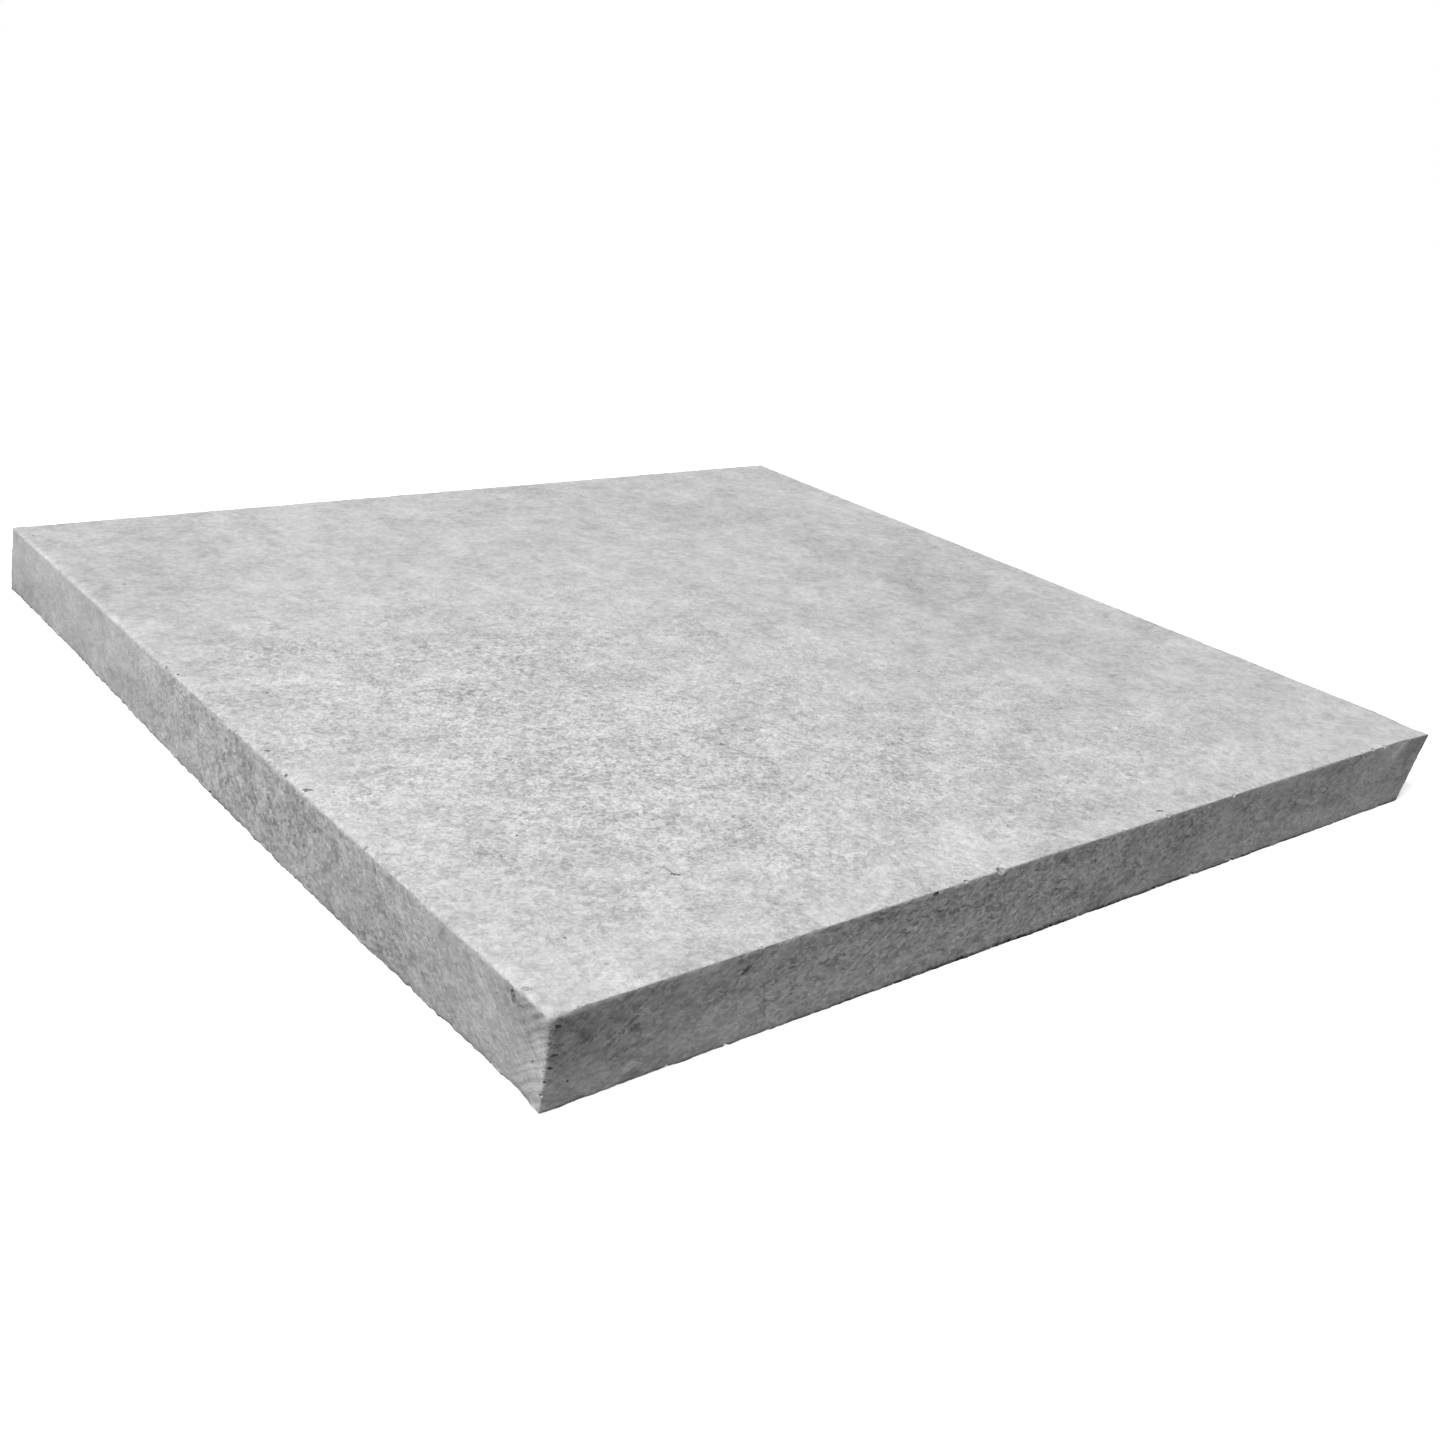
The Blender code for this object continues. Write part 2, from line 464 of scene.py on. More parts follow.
def saw_marks(tree, place):
    """Light strokes and dark strokes where the blade's rim passed, and the front corner's scuffs."""
    part = add_node(tree, "ShaderNodeSeparateXYZ", None, {"Vector": place}).outputs

    def sum_of(first, second, share=1.0):
        """The first pattern plus a share of the second."""
        return add_node(
            tree, "ShaderNodeMath", {"operation": "MULTIPLY_ADD"}, {0: second, 1: share, 2: first}
        ).outputs[0]

    # How far along the sides each arc stood when the blade cut it, as in saw_mark.
    side = sum_of(part["X"], part["Y"])
    drop = sum_of(-BLADE_HEIGHT, part["Z"])
    across = add_node(tree, "ShaderNodeMath", {"operation": "MULTIPLY"}, {0: drop, 1: drop}).outputs[0]
    across = sum_of(BLADE_RADIUS**2, across, -1.0)
    across = add_node(tree, "ShaderNodeMath", {"operation": "SQRT"}, {0: across}).outputs[0]
    stood = sum_of(side, across, -1.0)
    rim = add_node(
        tree,
        "ShaderNodeTexNoise",
        {"noise_dimensions": "1D"},
        {"W": stood, "Scale": 1 / SAW_STROKE, "Detail": 2.0, "Roughness": 0.6},
    )
    kept = add_node(
        tree, "ShaderNodeTexNoise", None, {"Vector": place, "Scale": 1 / STROKE_STRETCH, "Detail": 2.0}
    )
    kept = add_node(
        tree,
        "ShaderNodeMapRange",
        None,
        {"Value": kept.outputs["Fac"], "From Min": 0.42, "From Max": 0.62},
    )
    # The light strokes are the high end of that pattern, and the dark ones its low end.
    strokes = []
    for start, end in ((0.56, 0.72), (0.44, 0.28)):
        stroke = add_node(
            tree,
            "ShaderNodeMapRange",
            None,
            {"Value": rim.outputs["Fac"], "From Min": start, "From Max": end},
        )
        strokes.append(
            add_node(
                tree,
                "ShaderNodeMath",
                {"operation": "MULTIPLY"},
                {0: stroke.outputs["Result"], 1: kept.outputs["Result"]},
            ).outputs[0]
        )
    # The scuffs, which fade out along both sides and are weaker on the -Y side.
    from_corner = sum_of(side, -LEFT - FRONT)
    rise = sum_of(part["Z"], from_corner, SCUFF_RISE)
    wobble = add_node(
        tree, "ShaderNodeTexNoise", None, {"Vector": place, "Scale": 1 / SCUFF_WAVER, "Detail": 1.0}
    )
    bands = add_node(
        tree,
        "ShaderNodeTexNoise",
        {"noise_dimensions": "1D"},
        {"W": sum_of(rise, wobble.outputs["Fac"], SCUFF_WOBBLE), "Scale": 1 / SCUFF, "Detail": 2.0},
    )
    scuff = add_node(
        tree,
        "ShaderNodeMapRange",
        None,
        {
            "Value": bands.outputs["Fac"],
            "From Min": 0.38,
            "From Max": 0.60,
            "To Min": -1.0,
            "To Max": 1.0,
        },
    )
    near = add_node(
        tree,
        "ShaderNodeMapRange",
        None,
        {"Value": from_corner, "From Min": SCUFF_REACH, "From Max": SCUFF_REACH / 4, "To Max": 1.0},
    )
    on_left = add_node(
        tree,
        "ShaderNodeMapRange",
        None,
        {
            "Value": part["X"],
            "From Min": LEFT + 1.5 * MM,
            "From Max": LEFT + 0.5 * MM,
            "To Min": SCUFF_SHARE,
            "To Max": 1.0,
        },
    )
    scuffs = scuff.outputs["Result"]
    for fade in (near, on_left):
        scuffs = add_node(
            tree, "ShaderNodeMath", {"operation": "MULTIPLY"}, {0: scuffs, 1: fade.outputs["Result"]}
        ).outputs[0]
    return (*strokes, scuffs)


def granite(name, tone, clouding, speckle, relief, roughness, sawn=False):
    """Granite of one finish.

    tone is its middle grey, clouding and speckle are the strength of its clouds and of its grain,
    relief is how deep the grain is, and sawn adds the marks of the blade.
    """
    stone = bpy.data.materials.new(name)
    tree = empty_tree(stone)
    place = add_node(tree, "ShaderNodeTexCoord").outputs["Object"]
    # The saw's teeth smeared the grain along the sides.
    spread_out = (SMEAR, SMEAR, 1.0) if sawn else (1.0, 1.0, 1.0)
    smeared = add_node(tree, "ShaderNodeMapping", None, {"Vector": place, "Scale": spread_out}).outputs[0]

    # Clouding from a thumb's breadth down to single crystals, equally strong at every size.
    mottle = add_node(
        tree,
        "ShaderNodeTexNoise",
        {"noise_dimensions": "3D", "noise_type": "FBM", "normalize": True},
        {"Vector": smeared, "Scale": 1 / MOTTLE, "Detail": MOTTLE_OCTAVES, "Roughness": 1.0},
    )

    # Crystals: cells with bent outlines, each of its own grey.
    bend = add_node(
        tree, "ShaderNodeTexNoise", None, {"Vector": smeared, "Scale": 1 / CRYSTAL, "Detail": 2.0}
    )
    shift = add_node(
        tree,
        "ShaderNodeVectorMath",
        {"operation": "MULTIPLY_ADD"},
        {0: bend.outputs["Color"], 1: (CRYSTAL,) * 3, 2: smeared},
    )
    crystal = add_node(
        tree, "ShaderNodeTexVoronoi", {"feature": "F1"}, {"Vector": shift.outputs[0], "Scale": 1 / CRYSTAL}
    )
    grey = add_node(tree, "ShaderNodeSeparateColor", None, {"Color": crystal.outputs["Color"]})

    # Mica and open grains: small dark flecks, only in some cells.
    fleck = add_node(
        tree, "ShaderNodeTexVoronoi", {"feature": "F1"}, {"Vector": shift.outputs[0], "Scale": 1 / MICA}
    )
    lot = add_node(tree, "ShaderNodeSeparateColor", None, {"Color": fleck.outputs["Color"]})
    reach = add_node(
        tree,
        "ShaderNodeMapRange",
        None,
        {"Value": lot.outputs["Red"], "From Min": NO_MICA, "From Max": 1.0, "To Max": MICA_WIDTH},
    )
    dark = add_node(
        tree,
        "ShaderNodeMapRange",
        {"interpolation_type": "SMOOTHSTEP"},
        {
            "Value": fleck.outputs["Distance"],
            "From Min": 0.0,
            "From Max": reach.outputs["Result"],
            "To Min": 1.0,
            "To Max": 0.0,
        },
    )

    # The smaller crystals between them.
    fine = add_node(
        tree, "ShaderNodeTexVoronoi", {"feature": "F1"}, {"Vector": shift.outputs[0], "Scale": 1 / GRAIN}
    )
    speck = add_node(tree, "ShaderNodeSeparateColor", None, {"Color": fine.outputs["Color"]})

    def total(start, shares):
        """Adds up patterns by weight. Those that run from 0 to 1 are centred by half their weight."""
        for pattern, weight, centred in shares:
            start = add_node(
                tree, "ShaderNodeMath", {"operation": "MULTIPLY_ADD"}, {0: pattern, 1: weight, 2: start}
            ).outputs[0]
            if centred:
                start = add_node(
                    tree, "ShaderNodeMath", {"operation": "ADD"}, {0: start, 1: -weight / 2}
                ).outputs[0]
        return start

    # Where the stone is rubbed smoothest its grain shows least.
    grain_shares = [
        (grey.outputs["Red"], CRYSTAL_TONE * speckle, True),
        (speck.outputs["Red"], GRAIN_TONE * speckle, True),
        (dark.outputs["Result"], MICA_TONE * speckle, False),
    ]
    grains = total(0.0, grain_shares)
    keen = add_node(tree, "ShaderNodeAttribute", {"attribute_name": "keen"})
    # This layer holds real stains and also painted light and shade, and scales the grey.
    stain_light_and_shade = add_node(tree, "ShaderNodeAttribute", {"attribute_name": "stain_light_and_shade"})
    toned = add_node(
        tree, "ShaderNodeMath", {"operation": "ADD"}, {0: stain_light_and_shade.outputs["Fac"], 1: 1.0}
    ).outputs[0]
    shares = [(mottle.outputs["Fac"], clouding, True)]
    if sawn:
        light, dark_strokes, scuffs = saw_marks(tree, place)
        shares += [
            (light, LIGHT_STROKE, False),
            (dark_strokes, DARK_STROKE, False),
            (scuffs, SCUFF_TONE, False),
        ]
    shade = add_node(
        tree,
        "ShaderNodeMath",
        {"operation": "MULTIPLY_ADD"},
        {0: grains, 1: keen.outputs["Fac"], 2: total(toned, shares)},
    ).outputs[0]
    colour = add_node(
        tree, "ShaderNodeVectorMath", {"operation": "SCALE"}, {0: from_hex(tone)[:3], "Scale": shade}
    )

    # Crystals catch the light unevenly, and some are glossier than others.
    grain = add_node(
        tree,
        "ShaderNodeTexNoise",
        None,
        {"Vector": place, "Scale": 1 / GRAIN, "Detail": 3.0, "Roughness": 0.7},
    )
    bumps = add_node(
        tree, "ShaderNodeBump", None, {"Height": grain.outputs["Fac"], "Distance": relief, "Strength": 1.0}
    )
    gloss = add_node(
        tree,
        "ShaderNodeMapRange",
        None,
        {
            "Value": grey.outputs["Green"],
            "To Min": roughness - GLOSS_SPREAD,
            "To Max": roughness + GLOSS_SPREAD,
        },
    )
    surface = add_node(
        tree,
        "ShaderNodeBsdfPrincipled",
        None,
        {
            "Base Color": colour.outputs[0],
            "Roughness": gloss.outputs["Result"],
            "IOR": GRANITE_IOR,
            "Normal": bumps.outputs["Normal"],
        },
    )
    add_node(tree, "ShaderNodeOutputMaterial", None, {"Surface": surface.outputs["BSDF"]})
    return stone


# Ground flat with fine grit: pale and matt, with an even grain and hardly any relief.
slab.data.materials.append(granite("granite, ground", "#b4b4b4", 1.0, 1.0, 0.06 * MM, 0.75))

# Cut by the blade and left so: a shade darker and rougher, streaked along the blade's arcs.
slab.data.materials.append(granite("granite, sawn", "#ababab", 0.85, 1.25, 0.13 * MM, 0.8, sawn=True))

# Broken: crystals split rather than ground, so the grain is strong and a few faces catch the light.
# Its grey is set below the sawn sides' as painted shade for the hollows it lines.
slab.data.materials.append(granite("granite, fresh break", "#a0a0a0", 1.5, 1.5, 0.15 * MM, 0.7))

# Open pores and gashes: dust and shade make them the darkest and dullest of the four.
slab.data.materials.append(granite("granite, open pore", "#7c7c7c", 1.5, 1.5, 0.15 * MM, 0.9))

# What faces up is ground, and the sides and the underside are sawn.
GROUND, SAWN, BREAK, PORE = range(4)
for face in slab.data.polygons:
    face.material_index = GROUND if face.normal.z > 0.5 else SAWN


# ---- Chips, pores and the broken corner ----------------------------------------------------
# Each is a rough hollow, knocked out of an arris or open in a face, and is cut out of the slab.
# The broken corner is one large cut, and a thin flake came off the side beside it.

# taken holds the place and reach of every hollow in the open cutter.
chance = random.Random(21)
taken = []


def new_cutter(name):
    """A cutter, open for editing, that so far holds one small grain far below the slab."""
    taken.clear()
    bpy.ops.object.select_all(action="DESELECT")
    bpy.ops.mesh.primitive_ico_sphere_add(subdivisions=1, radius=0.1 * MM, location=(0, 0, -50 * MM))
    cutter = bpy.context.object
    cutter.name = name
    edit(cutter)
    return cutter


def hollow(place, size, turn=None, steps=2):
    """Adds one egg to the open cutter, unless it would touch another. It is turned at random
    if not told how, and steps is how finely it is divided."""
    place = Vector(place)
    if any((place - other).length < max(size) + reach for other, reach in taken):
        return
    taken.append((place, max(size)))
    turn = turn or [chance.uniform(0, math.pi) for _ in range(3)]
    bpy.ops.mesh.primitive_ico_sphere_add(
        subdivisions=steps, radius=1.0, location=place, rotation=turn, scale=size
    )


def cut_out(cutter, finish, grain):
    """Roughens a cutter by lumps of about one grain, and takes it out of the slab, which leaves
    faces of one finish."""
    bpy.ops.object.mode_set(mode="OBJECT")
    uneven = cutter.modifiers.new("uneven", "DISPLACE")
    uneven.texture = bpy.data.textures.new("uneven", "CLOUDS")
    uneven.texture.noise_scale = 2 * grain
    uneven.texture.contrast = 2.0
    uneven.strength = 2 * grain
    uneven.texture_coords = "LOCAL"
    bpy.ops.object.modifier_apply(modifier="uneven")
    for material in slab.data.materials:
        cutter.data.materials.append(material)
    for face in cutter.data.polygons:
        face.material_index = finish
    bpy.ops.object.select_all(action="DESELECT")
    slab.select_set(True)
    bpy.context.view_layer.objects.active = slab
    cut = slab.modifiers.new("cut", "BOOLEAN")
    cut.object = cutter
    cut.solver = "MANIFOLD"
    bpy.ops.object.modifier_apply(modifier="cut")
    bpy.data.objects.remove(cutter)


def along(start, end, spacing, smallest, largest):
    """Chips along an arris, about spacing apart and mostly small."""
    start, end = Vector(start), Vector(end)
    run = (end - start).length
    gone = chance.uniform(0.5, 1.0) * spacing
    while gone < run:
        size = smallest + (largest - smallest) * chance.random() ** 3
        hollow(start.lerp(end, gone / run), [size * chance.uniform(0.6, 1.2) for _ in range(3)])
        gone += 2 * size + chance.uniform(0.3, 1.7) * spacing


# A scratch on top beside the front corner: where it lies from that corner's foot and its half
# sizes, all in millimetres, and its turn.
SCRATCH = (((0.9, 9.5, 20), (1.8, 0.5, 0.18), (0, 0, -0.6)),)


def cut_named(marks):
    """Adds the marks of one list to the open cutter."""
    for place, size, turn in marks:
        spot = Vector((LEFT, FRONT, FOOT)) + Vector(place) * MM
        hollow(spot, [reach * MM for reach in size], turn, steps=3)


# Breaks: the scratch, and chips along every arris. How far apart they are, and how large the
# smallest and the largest are, differ between the top, the foot and the upright edges.
TOP_CHIPS = (11 * MM, 0.35 * MM, 1.3 * MM)
FOOT_CHIPS = (8 * MM, 0.3 * MM, 1.1 * MM)
UPRIGHT_CHIPS = (3 * MM, 0.3 * MM, 0.8 * MM)
CORNER_GAP = 2 * MM
cutter = new_cutter("chips")
cut_named(SCRATCH)
corners = [(LEFT, FRONT), (RIGHT, FRONT), (RIGHT, BACK), (LEFT, BACK)]
for count, (x, y) in enumerate(corners):
    next_x, next_y = corners[(count + 1) % 4]
    along((x, y, TOP), (next_x, next_y, TOP), *TOP_CHIPS)
    along((x, y, FOOT), (next_x, next_y, FOOT), *FOOT_CHIPS)
    along((x, y, FOOT + CORNER_GAP), (x, y, TOP - CORNER_GAP), *UPRIGHT_CHIPS)
cut_out(cutter, BREAK, 0.25 * MM)

# The open pores and gashes that catch the eye, ragged and dark inside, listed like the scratch.
UPRIGHT = (0, 0, 0)
EYE_CATCHING = (
    ((1.3, 98.1, 20), (1.1, 0.65, 0.6), (0, 0, -0.7)),
    ((51, 31, 20), (1.2, 0.45, 0.2), (0, 0, -0.7)),
    ((102, 79, 20), (0.9, 0.45, 0.2), (0, 0, -0.7)),
    ((177.8, 2.7, 20), (1.1, 0.5, 0.3), (0, 0, -0.5)),
    ((1.9, 120, 20), (0.7, 0.4, 0.35), (0, 0, -0.7)),
    ((45.4, 0, 15.9), (1.4, 0.35, 0.6), (0, -0.6, 0)),
    ((97, 0, 19.2), (0.8, 0.5, 0.6), UPRIGHT),
    ((-0.2, 11.5, 17.9), (0.6, 0.8, 1.8), (-0.5, 0, 0)),
    ((-0.4, 63.8, 17.1), (0.3, 0.6, 0.6), UPRIGHT),
    ((-1.9, 141.8, 0.6), (0.5, 0.8, 0.7), UPRIGHT),
)
cutter = new_cutter("gashes")
cut_named(EYE_CATCHING)
cut_out(cutter, PORE, 0.3 * MM)

# Shallow dents beside the front corner's upright edge, and small pores scattered over the top and
# the four sides.
TOP_PORES = 45
SIDE_PORES = 5
DENTS = (
    ((0.6, 0, 6.4), (0.8, 0.14, 0.3), (0, 0.2, 0)),
    ((1.3, 0, 9.1), (1.1, 0.14, 0.35), (0, 0.2, 0)),
    ((1.8, 0, 11.4), (1.2, 0.14, 0.3), (0, 0.1, 0)),
    ((2.3, 0, 13.4), (1.3, 0.14, 0.35), (0, 0.3, 0)),
    ((1.9, 0, 17.3), (1.1, 0.14, 0.4), (0, 0.3, 0)),
)
cutter = new_cutter("pores")
cut_named(DENTS)
for _ in range(TOP_PORES):
    size = 0.2 * MM + 0.3 * MM * chance.random() ** 2
    hollow((chance.uniform(LEFT, RIGHT), chance.uniform(FRONT, BACK), TOP), (size, size, 0.8 * size))
for x, y in corners:
    for _ in range(SIDE_PORES):
        size = 0.15 * MM + 0.25 * MM * chance.random() ** 3
        side = chance.uniform(0, 1)
        level = chance.uniform(FOOT + CORNER_GAP, TOP - CORNER_GAP)
        spot = (x, FRONT + side * (BACK - FRONT), level)
        if (x < 0) == (y < 0):
            spot = (LEFT + side * (RIGHT - LEFT), y, level)
        hollow(spot, (size, size, size))
cut_out(cutter, PORE, 0.1 * MM)

# The block that cuts a broken plane: its width and height, and how finely it is divided.
BLOCK = 60 * MM
BLOCK_DEPTH = 20 * MM
BLOCK_CUTS = 60


def broken_plane(name, hinge, across, down):
    """A cutter, open for editing, that stands outside the plane through hinge along across and down."""
    across, down = across.normalized(), down.normalized()
    normal = across.cross(down).normalized()
    bpy.ops.object.select_all(action="DESELECT")
    bpy.ops.mesh.primitive_cube_add(size=1.0)
    cutter = bpy.context.object
    cutter.name = name
    edit(cutter)
    bpy.ops.transform.resize(value=(BLOCK, BLOCK, BLOCK_DEPTH))
    bpy.ops.transform.translate(value=(0, 0, BLOCK_DEPTH / 2))
    bpy.ops.mesh.subdivide(number_cuts=BLOCK_CUTS)
    turn = normal.to_track_quat("Z", "Y").to_matrix().to_4x4()
    bpy.ops.object.mode_set(mode="OBJECT")
    cutter.data.transform(Matrix.Translation(hinge) @ turn)
    edit(cutter)
    return cutter


# The right corner broke along a plane from its top point down to the two sides' feet. The plane
# starts just inside the point, so that the point stays.
UNDERCUT_X = 8.6 * MM
UNDERCUT_Y = 6 * MM
point = Vector((RIGHT + 0.8 * TIP_OUT, FRONT - 0.4 * TIP_OUT, TOP))
toe = Vector((RIGHT - UNDERCUT_X, FRONT, FOOT))
heel = Vector((RIGHT, FRONT + UNDERCUT_Y, FOOT))
cutter = broken_plane("undercut", point, toe - point, heel - point)
cut_out(cutter, BREAK, 0.15 * MM)

# A flake is off the -Y side beside that corner. Its edge starts FLAKE_START from the corner on the
# top arris, and slants down and away to FLAKE_END and FLAKE_DROP.
FLAKE_START = 11 * MM
FLAKE_END = 27 * MM
FLAKE_DROP = 11 * MM
FLAKE_DEPTH = 0.5 * MM
flake_top = Vector((RIGHT - FLAKE_START, FRONT, TOP))
flake_foot = Vector((RIGHT - FLAKE_END, FRONT, TOP - FLAKE_DROP))
flake_end = Vector((RIGHT, FRONT + FLAKE_DEPTH - TIP_OUT / 2, TOP))
cutter = broken_plane("flake", flake_top, flake_foot - flake_top, flake_end - flake_top)
cut_out(cutter, SAWN, 0.07 * MM)


# ---- Stains, tone, painted light and shade -------------------------------------------------
# The stone's grey drifts in soft patches a few centimetres across, and some patches are painted
# light and shade instead, as noted beside them. Each patch is its place from the front corner and
# how far it reaches each way, in millimetres, and how much lighter it is.

TOP_STAINS_AND_SHADE = (
    (35, 273, 28, 13, -0.07),
    (15, 240, 14, 22, -0.05),
    (28, 208, 14, 14, -0.05),
    (178, 285, 17, 16, -0.07),
    (235, 295, 18, 10, -0.04),
    (272, 280, 14, 14, -0.03),
    (235, 243, 24, 13, -0.08),
    (190, 245, 22, 12, -0.04),
    (250, 210, 28, 13, -0.08),
    (258, 168, 32, 22, -0.11),
    (255, 135, 17, 26, -0.09),
    (238, 108, 20, 18, -0.10),
    (252, 68, 20, 13, -0.07),
    (288, 92, 16, 9, -0.05),
    (100, 156, 17, 8, -0.06),
    (65, 165, 14, 10, -0.03),
    (105, 118, 12, 10, -0.03),
    (84, 88, 14, 8, -0.05),
    (90, 60, 12, 12, -0.02),
    (65, 27, 14, 16, -0.04),
    (128, 50, 16, 14, -0.03),
    (155, 32, 15, 11, -0.06),
    (198, 48, 18, 11, -0.06),
    (170, 150, 22, 11, -0.03),
    (188, 90, 28, 8, -0.04),
    (30, 130, 22, 10, -0.02),
    (10, 92, 22, 30, 0.06),
    (10, 12, 24, 20, 0.05),
    (106, 10, 16, 26, 0.05),
    (207, 11, 32, 10, 0.05),
    (290, 35, 14, 14, 0.04),
    (290, 116, 16, 12, 0.04),
    (62, 205, 14, 10, 0.04),
    (112, 198, 24, 18, 0.04),
    (135, 166, 22, 16, 0.03),
    (84, 288, 20, 16, 0.06),
    (140, 97, 28, 9, 0.04),
    (288, 245, 20, 26, 0.05),
    (25, 245, 28, 40, -0.05),
    (175, 285, 20, 15, -0.02),
    (175, 125, 20, 20, 0.02),
    # Painted shade: this patch dulls the light on the rubbed-round front corner.
    (3, 3, 5, 5, -0.06),
    (0.3, 235, 1.6, 60, 0.14),
)
# Painted light and shade on the -X side: these patches light its back end and darken its middle, for light
# that falls unevenly along it.
LEFT_STAINS_LIGHT_AND_SHADE = (
    (5, 17, 9, 5, -0.14),
    (1, 7, 3, 8, 0.08),
    (20, 9, 8, 8, 0.05),
    (82, 4, 30, 8, -0.10),
    (85, 14, 14, 5, -0.07),
    (102, 15, 10, 7, -0.09),
    (122, 6, 7, 8, -0.08),
    (50, 5, 20, 8, -0.04),
    (128, 15, 18, 8, -0.06),
    (225, 15, 50, 9, 0.19),
    (288, 15, 32, 10, 0.22),
    (260, 4, 60, 6, 0.04),
    (75, 8, 30, 8, -0.06),
    (125, 9, 20, 6, -0.03),
    (175, 13, 25, 6, 0.05),
    (285, 14, 25, 7, 0.06),
    (225, 3, 25, 4, 0.06),
    (3, 6, 8, 8, 0.08),
    (13, 6, 10, 6, 0.07),
    (12, 18, 6, 3, -0.12),
)
# On the -Y side a band along the foot is lighter and a band under the top darker.
RIGHT_STAINS_AND_SHADE = (
    (150, 20, 170, 6, -0.07),
    (40, 2, 60, 5, 0.03),
    # Painted shade beside the front upright edge.
    (5, 16, 16, 8, -0.15),
    (41, 18, 9, 4, -0.10),
    (88, 17, 14, 4, -0.07),
    (122, 14, 6, 4, -0.06),
    (165, 11, 12, 6, -0.06),
    (186, 12, 9, 5, -0.08),
    (228, 11, 8, 6, -0.09),
    (250, 18, 16, 4, -0.12),
    (38, 5, 16, 5, 0.09),
    (72, 5, 24, 4, 0.09),
    (115, 5, 12, 4, 0.08),
    (185, 5, 12, 3, 0.05),
    (250, 4, 22, 4, 0.09),
    (270, 10, 6, 7, 0.07),
    (281, 18, 8, 2.6, 0.16),
    # Painted shade: these three darken the face of the flake by the right corner.
    (295, 17, 4.5, 3.5, -0.26),
    (290, 14, 3.5, 4, -0.20),
    (291, 8, 3.5, 4, -0.10),
    # Painted shade beside the front upright edge, like the patch at 5 mm.
    (1.5, 13.5, 2.4, 6.5, -0.26),
    (3, 18, 4, 2, -0.14),
    (7, 14, 9, 6, -0.18),
    (10, 3, 16, 4, -0.09),
    (25, 16, 30, 6, -0.07),
    (75, 14, 28, 8, -0.08),
    (125, 11, 20, 5, -0.05),
    (225, 12, 30, 6, -0.05),
    (275, 3, 22, 4, 0.09),
    (187, 12, 8, 3, -0.10),
)

# Single strokes and ridges: where each starts and ends and how wide it is, in millimetres, and how
# much lighter it is.
LEFT_STROKES = (
    (56.2, 18.9, 48.7, 10.6, 0.8, 0.14),
    (107.9, 11.0, 101.8, 7.9, 0.8, 0.12),
    (78, 17, 69, 8, 0.7, 0.10),
    (92, 18, 84, 10, 0.7, -0.10),
    (133, 16, 124, 6, 0.8, 0.10),
)
RIGHT_STROKES = (
    (288.6, 19.3, 282.4, 15.2, 1.1, 0.42),
    (282.4, 15.2, 272.4, 9.1, 1.2, 0.14),
    (52.8, 16.6, 57, 18.8, 1.1, 0.14),
    (2.5, 18.3, 9.5, 12.1, 0.7, -0.22),
    (6, 14.9, 9.2, 12.4, 0.7, -0.18),
    (182.7, 9.7, 192.5, 13.8, 1.2, -0.12),
    (100, 17.5, 96.8, 15.5, 1.0, 0.14),
)

# How keenly the grain shows: its strength where the stone is rubbed smoothest, and the patches
# where it is left rougher, listed like the stains.
SMOOTHEST = 0.45
TOP_KEEN = (
    (40, 70, 75, 75, 0.45),
    (95, 85, 75, 80, 0.55),
    (190, 35, 70, 45, 0.35),
    (20, 150, 60, 40, 0.25),
    (85, 150, 70, 40, 0.25),
)
LEFT_KEEN = ((110, 10, 60, 16, 0.65), (30, 10, 40, 16, 0.15), (170, 10, 28, 16, 0.4))
RIGHT_KEEN = ((90, 10, 80, 16, 0.80), (150, 10, 60, 16, 0.35), (260, 10, 70, 16, 0.45))

# How far a patch's outline strays, and over what length in millimetres.
STRAY = 0.9
STRAY_LENGTH = 14


def spread(places, patches):
    """The sum of the patches at each place, with their outlines bent by noise."""
    bent = np.array([1 + STRAY * noise.noise(Vector((a, b, 3.0)) / STRAY_LENGTH) for a, b in places])
    total = np.zeros(len(places))
    for middle_a, middle_b, reach_a, reach_b, tone in patches:
        gap = ((places[:, 0] - middle_a) / reach_a) ** 2 + ((places[:, 1] - middle_b) / reach_b) ** 2
        total += tone * np.exp(-gap * bent)
    return total


def draw(places, strokes):
    """The sum of the strokes at each place, each soft-edged and fading towards its ends."""
    total = np.zeros(len(places))
    for start_a, start_b, end_a, end_b, width, tone in strokes:
        start, run = np.array((start_a, start_b)), np.array((end_a - start_a, end_b - start_b))
        share = np.clip((places - start) @ run / (run @ run), 0, 1)
        gap = np.linalg.norm(places - start - share[:, None] * run, axis=1)
        total += tone * np.exp(-((gap / width) ** 2)) * (1 - 0.5 * share)
    return total


# Dirt lodges under the foot arris, and a contact shadow is painted there with it: in faint
# dashes, and almost unbroken along the -Y side, where the dark line reaches up by a share of
# GRIME_AND_SHADE_TOP that changes along the side. It breaks up every few millimetres, over
# GRIME_AND_SHADE_LENGTH.
FOOT_GRIME_AND_SHADE = 0.82
DASH_SHARE = 0.3
GRIME_AND_SHADE_LENGTH = 6
GRIME_AND_SHADE_PLACES = (0, 70, 95, 170, 225, 260, 285)
GRIME_AND_SHADE_HEIGHTS = (0.35, 0.35, 1.0, 1.0, 0.6, 0.4, 0.9)

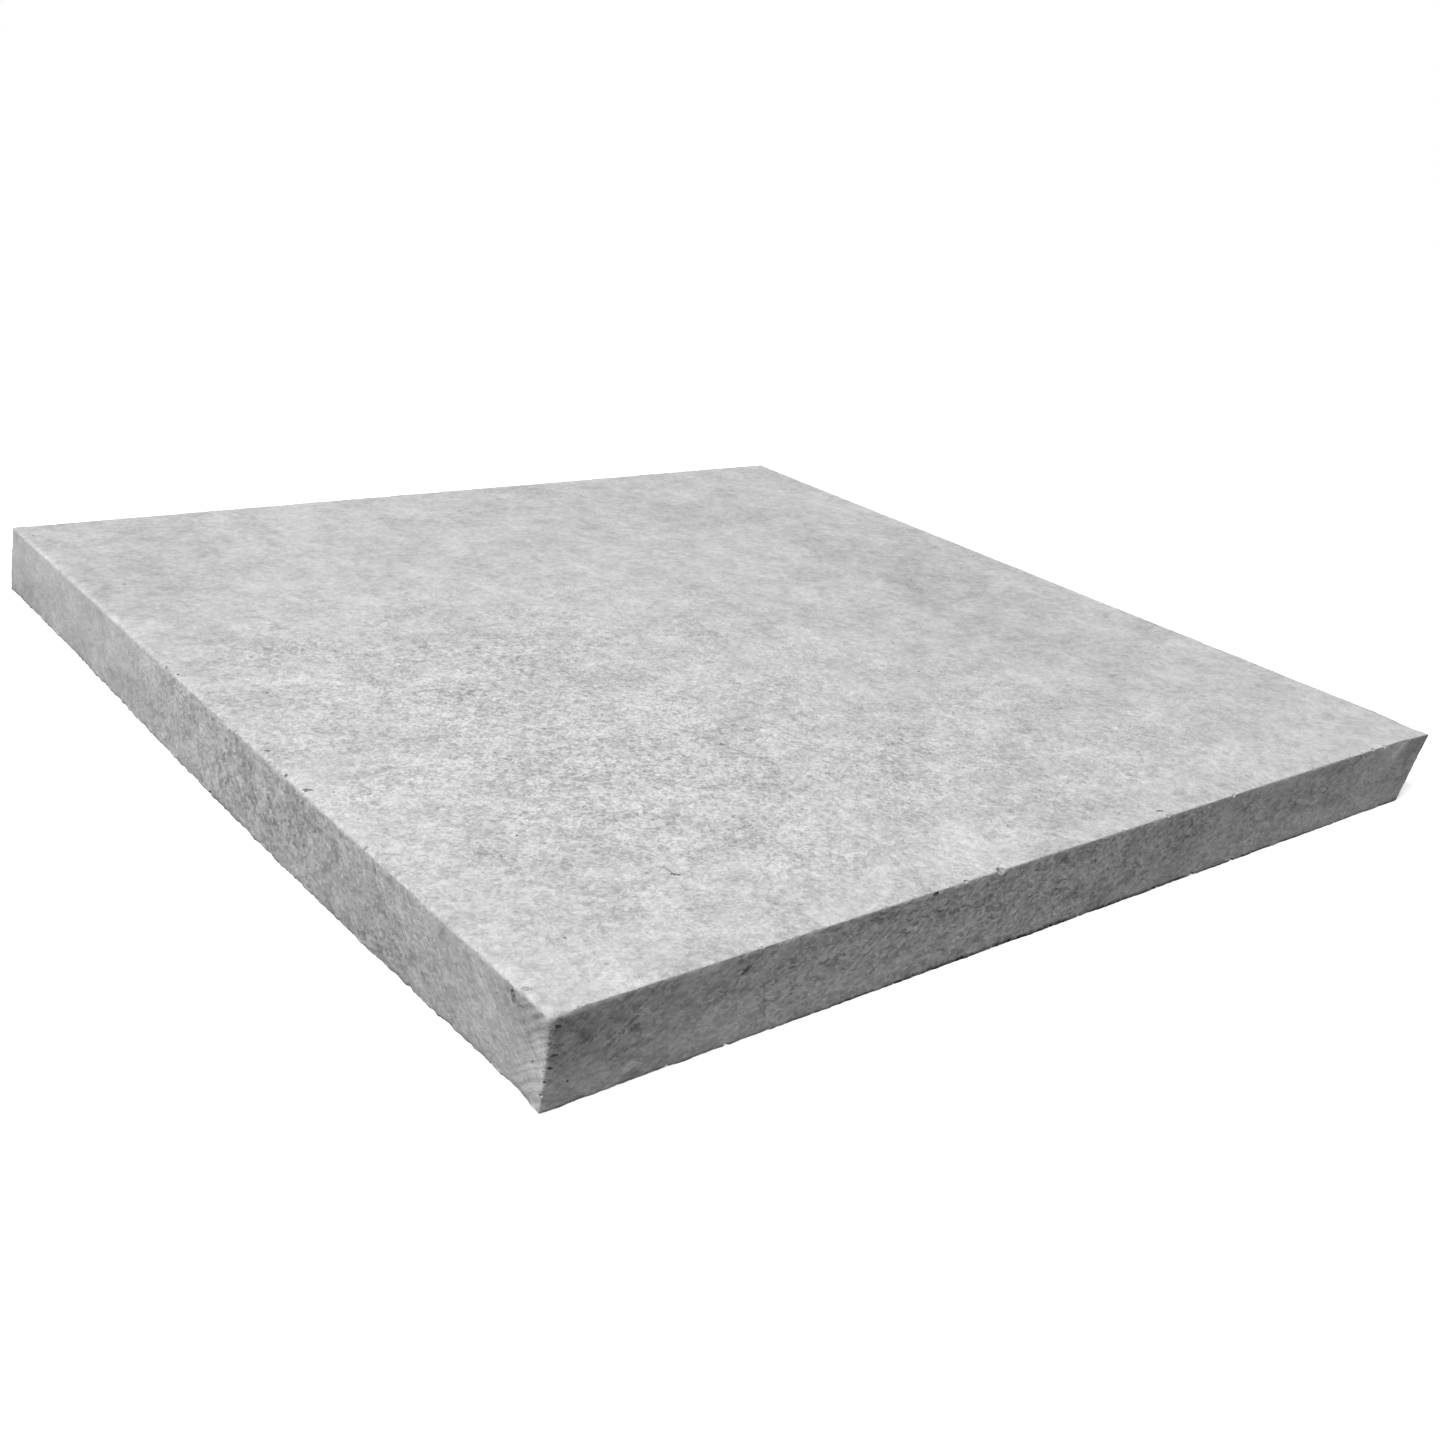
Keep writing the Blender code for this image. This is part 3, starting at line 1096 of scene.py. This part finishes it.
# Every point of the mesh in millimetres from the front corner's foot. lower is 0 on top and 1 from
# just under the top arris down. on_left and on_right are 1 on the -X side and the -Y side, fade
# out over the next few millimetres inwards, and meet in a narrow blend at the front upright edge.
spots = np.array([vert.co for vert in slab.data.vertices])
spots = (spots - (LEFT, FRONT, FOOT)) / MM
inside = THICKNESS / MM - spots[:, 2]
lower = np.clip(inside - 0.3, 0, 1)
nearer_left = np.clip(0.5 + (spots[:, 1] - spots[:, 0]) / 0.6, 0, 1)
on_left = np.clip(1 - (spots[:, 0] - 1) / 2, 0, 1) * lower * nearer_left
on_right = np.clip(1 - (spots[:, 1] - 1) / 2, 0, 1) * lower * (1 - nearer_left)
stain_light_and_shade = spread(spots[:, [0, 1]], TOP_STAINS_AND_SHADE) * (1 - lower)
stain_light_and_shade += (spread(spots[:, [1, 2]], LEFT_STAINS_LIGHT_AND_SHADE) + draw(spots[:, [1, 2]], LEFT_STROKES)) * on_left
stain_light_and_shade += (spread(spots[:, [0, 2]], RIGHT_STAINS_AND_SHADE) + draw(spots[:, [0, 2]], RIGHT_STROKES)) * on_right

# The grime and the painted contact shadow are thickest at the foot and thin out towards their upper limit.
broken = np.array([noise.noise(Vector((x + y, 0, 9)) / GRIME_AND_SHADE_LENGTH) for x, y, _ in spots])
height = spots[:, 2] / (GRIME_AND_SHADE_TOP / MM)
dashes = DASH_SHARE * np.clip(2.6 - 2 * height, 0, 1) * np.clip(0.4 + 2.5 * broken, 0, 1)
line = np.clip(2.6 - 2 * height / np.interp(spots[:, 0], GRIME_AND_SHADE_PLACES, GRIME_AND_SHADE_HEIGHTS), 0, 1)
line *= np.clip(1.1 + 1.6 * broken, 0.15, 1)
stain_light_and_shade -= FOOT_GRIME_AND_SHADE * np.where(on_right > 0, line, dashes)

keen = SMOOTHEST + spread(spots[:, [0, 1]], TOP_KEEN) * (1 - lower)
keen += spread(spots[:, [1, 2]], LEFT_KEEN) * on_left
keen += spread(spots[:, [0, 2]], RIGHT_KEEN) * on_right
for name, values in (("stain_light_and_shade", stain_light_and_shade), ("keen", keen)):
    layer = slab.data.attributes.new(name, "FLOAT", "POINT")
    layer.data.foreach_set("value", values)

# Worn edges shade softly, and breaks keep their creases.
bpy.ops.object.select_all(action="DESELECT")
slab.select_set(True)
bpy.context.view_layer.objects.active = slab
bpy.ops.object.shade_smooth_by_angle(angle=math.radians(35))

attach(slab, "root")
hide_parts("stone_slab")
